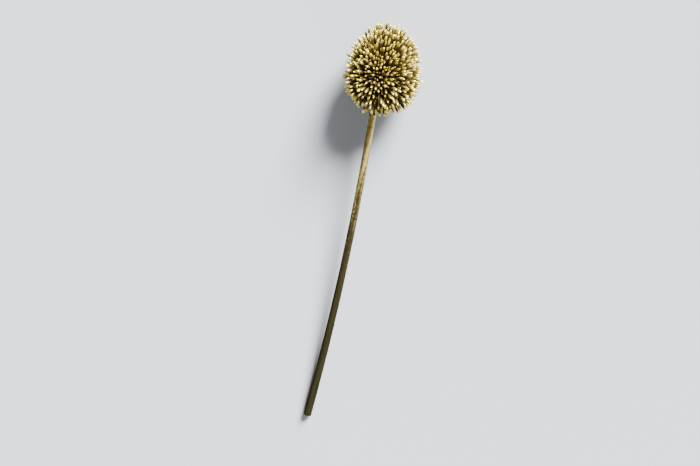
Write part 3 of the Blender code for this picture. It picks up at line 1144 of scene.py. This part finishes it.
def make_cut_finish():
    """Pale flesh with a green rim, a softer middle and a ring of darker strands."""
    material, tree, shader = new_material("cut_flesh")
    place = object_place(tree)
    away = add_node(tree, "ShaderNodeVectorMath", operation="DISTANCE")
    away.inputs[1].default_value = stem_point(0.0)
    tree.links.new(place, away.inputs[0])
    reach = math_node(tree, "DIVIDE", away.outputs["Value"], CUT_RADIUS)
    strands = add_node(tree, "ShaderNodeTexVoronoi", inputs={"Scale": STRAND_CELLS})
    tree.links.new(place, strands.inputs["Vector"])
    dots = ramp_value(tree, strands.outputs["Distance"], *STRAND_EDGE, 1.0, 0.0)
    past_pith = ramp_value(tree, reach, *STRANDS_START)
    before_rim = ramp_value(tree, reach, *STRANDS_END, 1.0, 0.0)
    ring = math_node(tree, "MULTIPLY", past_pith, before_rim)
    flesh = mix_colours(tree, ramp_value(tree, reach, *PITH_EDGE), PITH, FLESH)
    flesh = mix_colours(tree, math_node(tree, "MULTIPLY", dots, ring), flesh, SKIN_RIM)
    flesh = mix_colours(tree, ramp_value(tree, reach, *RIM_EDGE), flesh, SKIN_RIM)
    tree.links.new(flesh, shader.inputs["Base Color"])
    damp = noise(tree, place, DAMP_CELLS)
    rough = ramp_value(tree, damp, *NOISE_SPAN, *DAMP_ROUGHNESS)
    tree.links.new(rough, shader.inputs["Roughness"])
    add_bump(tree, shader, noise(tree, place, GRAIN_CELLS, 3.0), CUT_BUMP)
    return material


# %% Sweep the stem and finish its cut
STEM_SIDES = 96
STEM_RIBS = 12.0
RIB_DEPTH = 0.005
CUT_RINGS = ((0.96, -0.03), (0.80, 0.02), (0.52, 0.02), (0.36, 0.08), (0.20, 0.20))
PITH_DEPTH = 0.24 * MM


def finish_cut(mesh, flesh):
    """Puts rings of flesh in place of the flat cap: (share of the radius, depth in mm)."""
    mesh.materials.append(flesh)
    shape = bmesh.new()
    shape.from_mesh(mesh)
    into = (stem_point(0.01) - stem_point(0.0)).normalized()
    middle = stem_point(0.0)
    cap = min((f for f in shape.faces if len(f.verts) > 4), key=lambda f: f.calc_center_median().y)
    rim = list(cap.verts)
    shape.faces.remove(cap)
    outer = rim
    made = []
    for share, depth in CUT_RINGS:
        sunk = middle + into * depth * MM
        inner = [shape.verts.new(sunk + (vert.co - middle) * share) for vert in rim]
        for side, vert in enumerate(outer):
            after = (side + 1) % len(outer)
            made.append(shape.faces.new((vert, outer[after], inner[after], inner[side])))
        outer = inner
    pith = shape.verts.new(middle + into * PITH_DEPTH)
    for side, vert in enumerate(outer):
        made.append(shape.faces.new((vert, outer[(side + 1) % len(outer)], pith)))
    for face in made:
        face.material_index = len(mesh.materials) - 1
    bmesh.ops.recalc_face_normals(shape, faces=shape.faces)
    for face in shape.faces:
        face.smooth = True
    for here, after in zip(rim, rim[1:] + rim[:1]):
        shape.edges.get((here, after)).smooth = False
    shape.to_mesh(mesh)
    shape.free()


stem = grow(
    "flower_stem",
    make_stem_line(),
    STEM_TREE,
    {"Sides": STEM_SIDES, "Ribs": STEM_RIBS, "Rib Depth": RIB_DEPTH, "Finish": STEM_FINISH},
)
finish_cut(stem.data, make_cut_finish())
claim(stem, "stem_gilding", "stem")
print("the stem has", len(stem.data.polygons), "faces")

# %% [markdown]
# ## The spathe valves
# Before the head opens, two papery bracts wrap it. They have split, dried and folded back
# along the stem, and only their narrow tips show below the head. Each is a thin curved
# blade with veins along it that ends in a long beak. A grid bent round the stem gives the
# blade, a little wave across it gives the veins, and a Solidify modifier gives it its
# thickness.

# %% The bract's material
BRACT_BROWN = (0.085, 0.050, 0.018)
BRACT_GOLD = (0.36, 0.26, 0.09)
VEIN_SQUEEZE = 0.05
VEIN_STREAKS = 2600.0
VEIN_SPAN = (0.35, 0.70)
BRACT_COVER = (0.10, 0.48)
BRACT_BUMP = 0.08 * MM


def make_bract_finish():
    """Dry brown with veins along it, on whose backs the gold lies a little thicker."""
    material, tree, shader, paint = new_finish("gilded_bract")
    veins = noise(tree, along_stem(tree, VEIN_SQUEEZE), VEIN_STREAKS, 3.0)
    cover = ramp_value(tree, veins, *VEIN_SPAN, *BRACT_COVER)
    tree.links.new(cover, paint.inputs["Cover"])
    tree.links.new(mix_colours(tree, veins, BRACT_BROWN, STEM_OLIVE), paint.inputs["Bare"])
    paint.inputs["Paint"].default_value = (*BRACT_GOLD, 1.0)
    tree.links.new(paint.outputs["Color"], shader.inputs["Base Color"])
    relief = math_node(tree, "ADD", veins, paint.outputs["Height"])
    add_bump(tree, shader, relief, BRACT_BUMP)
    return material


BRACT_FINISH = make_bract_finish()
print("the bract's material has", len(BRACT_FINISH.node_tree.nodes), "nodes")

# %% Bend a blade round the stem
VALVE_START = -5.4 * MM
VALVE_LENGTH = 16.8 * MM
VALVE_WIDTH = 5.0 * MM
VALVE_FLARE = 0.8 * MM
VALVE_GAP = 0.35 * MM
VALVE_BEAK = 0.25 * MM
VALVE_TWIST = 0.35
VALVE_CURL = 0.25 * MM
VALVE_ROWS = 36
VALVE_COLUMNS = 16
VEIN_COUNT = 5
VEIN_RELIEF = 0.06 * MM


def make_valve_mesh(name, turn):
    """A blade that hangs down round the stem, widens, and narrows to its beak."""
    shape = bmesh.new()
    grid = []
    for i in range(VALVE_ROWS + 1):
        share = i / VALVE_ROWS
        height = VALVE_START - VALVE_LENGTH * share
        off_stem = NECK_RADIUS + VALVE_GAP * min(1.0, share * 8.0) + VALVE_FLARE * share**1.5
        width = VALVE_WIDTH * (0.55 + 1.6 * share) * (1.0 - share) ** 1.3 + VALVE_BEAK
        spread = width / off_stem / 2.0
        twist = VALVE_TWIST * share**3 * math.sin(turn * 3.0)
        row = []
        for j in range(VALVE_COLUMNS + 1):
            side = 2.0 * j / VALVE_COLUMNS - 1.0
            angle = turn + twist + spread * side
            vein = VEIN_RELIEF * math.cos(math.pi * VEIN_COUNT * side) * (1.0 - share)
            curl = VALVE_CURL * side**4 * math.sin(share * 9.0 + turn)
            radius = off_stem + vein + curl
            local = Vector((math.cos(angle) * radius, math.sin(angle) * radius, height))
            row.append(shape.verts.new(HEAD_MIDDLE + in_world(local)))
        grid.append(row)
    for upper, lower in zip(grid, grid[1:]):
        for j in range(VALVE_COLUMNS):
            shape.faces.new((upper[j], lower[j], lower[j + 1], upper[j + 1]))
    mesh = as_mesh(shape, name)
    mesh.materials.append(BRACT_FINISH)
    return mesh


# %% Hang both bracts
VALVE_WALL = 0.22 * MM
VALVE_TURNS = {"a": math.radians(35), "b": math.radians(205)}

for letter, turn in VALVE_TURNS.items():
    valve_name = f"bract_{letter}"
    valve = put_in_scene(valve_name, make_valve_mesh(valve_name, turn))
    wall = valve.modifiers.new("wall", "SOLIDIFY")
    wall.thickness = VALVE_WALL
    wall.offset = 1.0
    claim(valve, "bract_gilding", f"spathe_valve_{letter}")
    print(valve_name, "has", len(valve.data.polygons), "faces before its wall")

# %% [markdown]
# ## The studio
# The flower lies on a plain pale floor. The light is soft and comes from the side of the
# head, which is up in the picture, with a weak fill from the cut end's side. A wide sun
# makes the key light: it is even over the whole floor, so no pool of light shows from any
# side. The camera looks down on the floor from where it sees the flower as if it stood: a
# little from above its head, with its stem leaning.


# %% The floor's finish
FLOOR_DARKER = (0.354, 0.381, 0.450)
FLOOR_LIGHTER = (0.374, 0.401, 0.470)
FLOOR_CLOUDS = 3.0


def make_floor_finish():
    """A fully matt pale grey, with clouds too faint to see as such."""
    material, tree, shader = new_material("studio_floor")
    cloud = noise(tree, object_place(tree), FLOOR_CLOUDS)
    colour = mix_colours(tree, cloud, FLOOR_DARKER, FLOOR_LIGHTER)
    tree.links.new(colour, shader.inputs["Base Color"])
    shader.inputs["Roughness"].default_value = 1.0
    shader.inputs["Specular IOR Level"].default_value = 0.0
    return material


# %% A floor that reaches the horizon
FLOOR_HALF = 30.0


def make_floor():
    """One wide square at the height where the CAD flower's lowest point lies."""
    level = min(CAD_BOX[0][2], 0.0)
    signs = [(-1, -1), (1, -1), (1, 1), (-1, 1)]
    corners = [(x * FLOOR_HALF, y * FLOOR_HALF, level) for x, y in signs]
    mesh = bpy.data.meshes.new("studio_floor")
    mesh.from_pydata(corners, [], [(0, 1, 2, 3)])
    mesh.materials.append(make_floor_finish())
    return put_in_scene("studio_floor", mesh)


floor = make_floor()
print("the floor lies at", round(floor.data.vertices[0].co.z / MM, 2), "mm")


# %% Aim a light or camera
TOWARDS_HEAD = Vector((0.0, 1.0, 0.0))


def aim(thing, place, target, roll=0.0):
    """Puts a camera or light at a place, looking at a target, rolled about its view."""
    forward = (target - place).normalized()
    right = forward.cross(TOWARDS_HEAD).normalized()
    above = right.cross(forward)
    tilted = above * math.cos(roll) - right * math.sin(roll)
    sideways = forward.cross(tilted)
    turn = Matrix((sideways, tilted, -forward)).transposed().to_4x4()
    thing.matrix_world = Matrix.Translation(place) @ turn


# %% The lights
KEY_PLACE = Vector((0.26, 0.85, 0.48))
KEY_ENERGY = 31.0
KEY_ANGLE = math.radians(25)
KEY_COLOUR = (1.0, 0.955, 0.87)
FILL_PLACE = Vector((0.80, -1.20, 0.90))
FILL_SIZE = 1.60
FILL_ENERGY = 20.0
FILL_COLOUR = (1.0, 0.98, 0.94)


def add_light(name, kind, place, energy, colour):
    """A light that points at the head's middle."""
    light = bpy.data.lights.new(name, kind)
    light.energy = energy
    light.color = colour
    aim(put_in_scene(name, light), place, HEAD_MIDDLE)
    return light


key = add_light("key_light", "SUN", KEY_PLACE, KEY_ENERGY, KEY_COLOUR)
key.angle = KEY_ANGLE
fill = add_light("fill_light", "AREA", FILL_PLACE, FILL_ENERGY, FILL_COLOUR)
fill.shape = "DISK"
fill.size = FILL_SIZE
print("lights:", [light.name for light in (key, fill)])

# %% [markdown]
# The air gives a dim warm light that fills the shadows. Seen past the floor's edge it would
# look far darker than the floor, so rays from the camera get the floor's own pale grey.

# %% The air
AIR_LIGHT = (0.30, 0.28, 0.25)
AIR_SEEN = (1.87, 1.93, 2.01)


def make_air():
    """Dim warm light for everything but the camera, which sees the floor's grey."""
    world = bpy.data.worlds.new("studio_air")
    world.use_nodes = True
    tree = world.node_tree
    seen = tree.nodes.new("ShaderNodeLightPath").outputs["Is Camera Ray"]
    colour = mix_colours(tree, seen, AIR_LIGHT, AIR_SEEN)
    tree.links.new(colour, tree.nodes["Background"].inputs["Color"])
    return world


bpy.context.scene.world = make_air()
print("the air lights with", AIR_LIGHT, "and is seen as", AIR_SEEN)

# %% The camera
CAMERA_LEAN = math.radians(15)
CAMERA_ROLL = math.radians(12)
CAMERA_DISTANCE = 0.75
CAMERA_LENS = 67.0

target = (Vector(CAD_BOX[0]) + Vector(CAD_BOX[1])) / 2.0
camera = put_in_scene("camera", bpy.data.cameras.new("camera"))
camera.data.lens = CAMERA_LENS
back = Vector((0.0, math.sin(CAMERA_LEAN), math.cos(CAMERA_LEAN)))
aim(camera, target + back * CAMERA_DISTANCE, target, roll=CAMERA_ROLL)
bpy.context.scene.camera = camera
print("camera looks down from", [round(value, 3) for value in camera.matrix_world.translation])

# %% Remove the helper shapes
for helper in list(BUD_SHAPES.objects) + [CUSHION_SHAPE]:
    bpy.data.objects.remove(helper, do_unlink=True)
bpy.data.collections.remove(BUD_SHAPES)
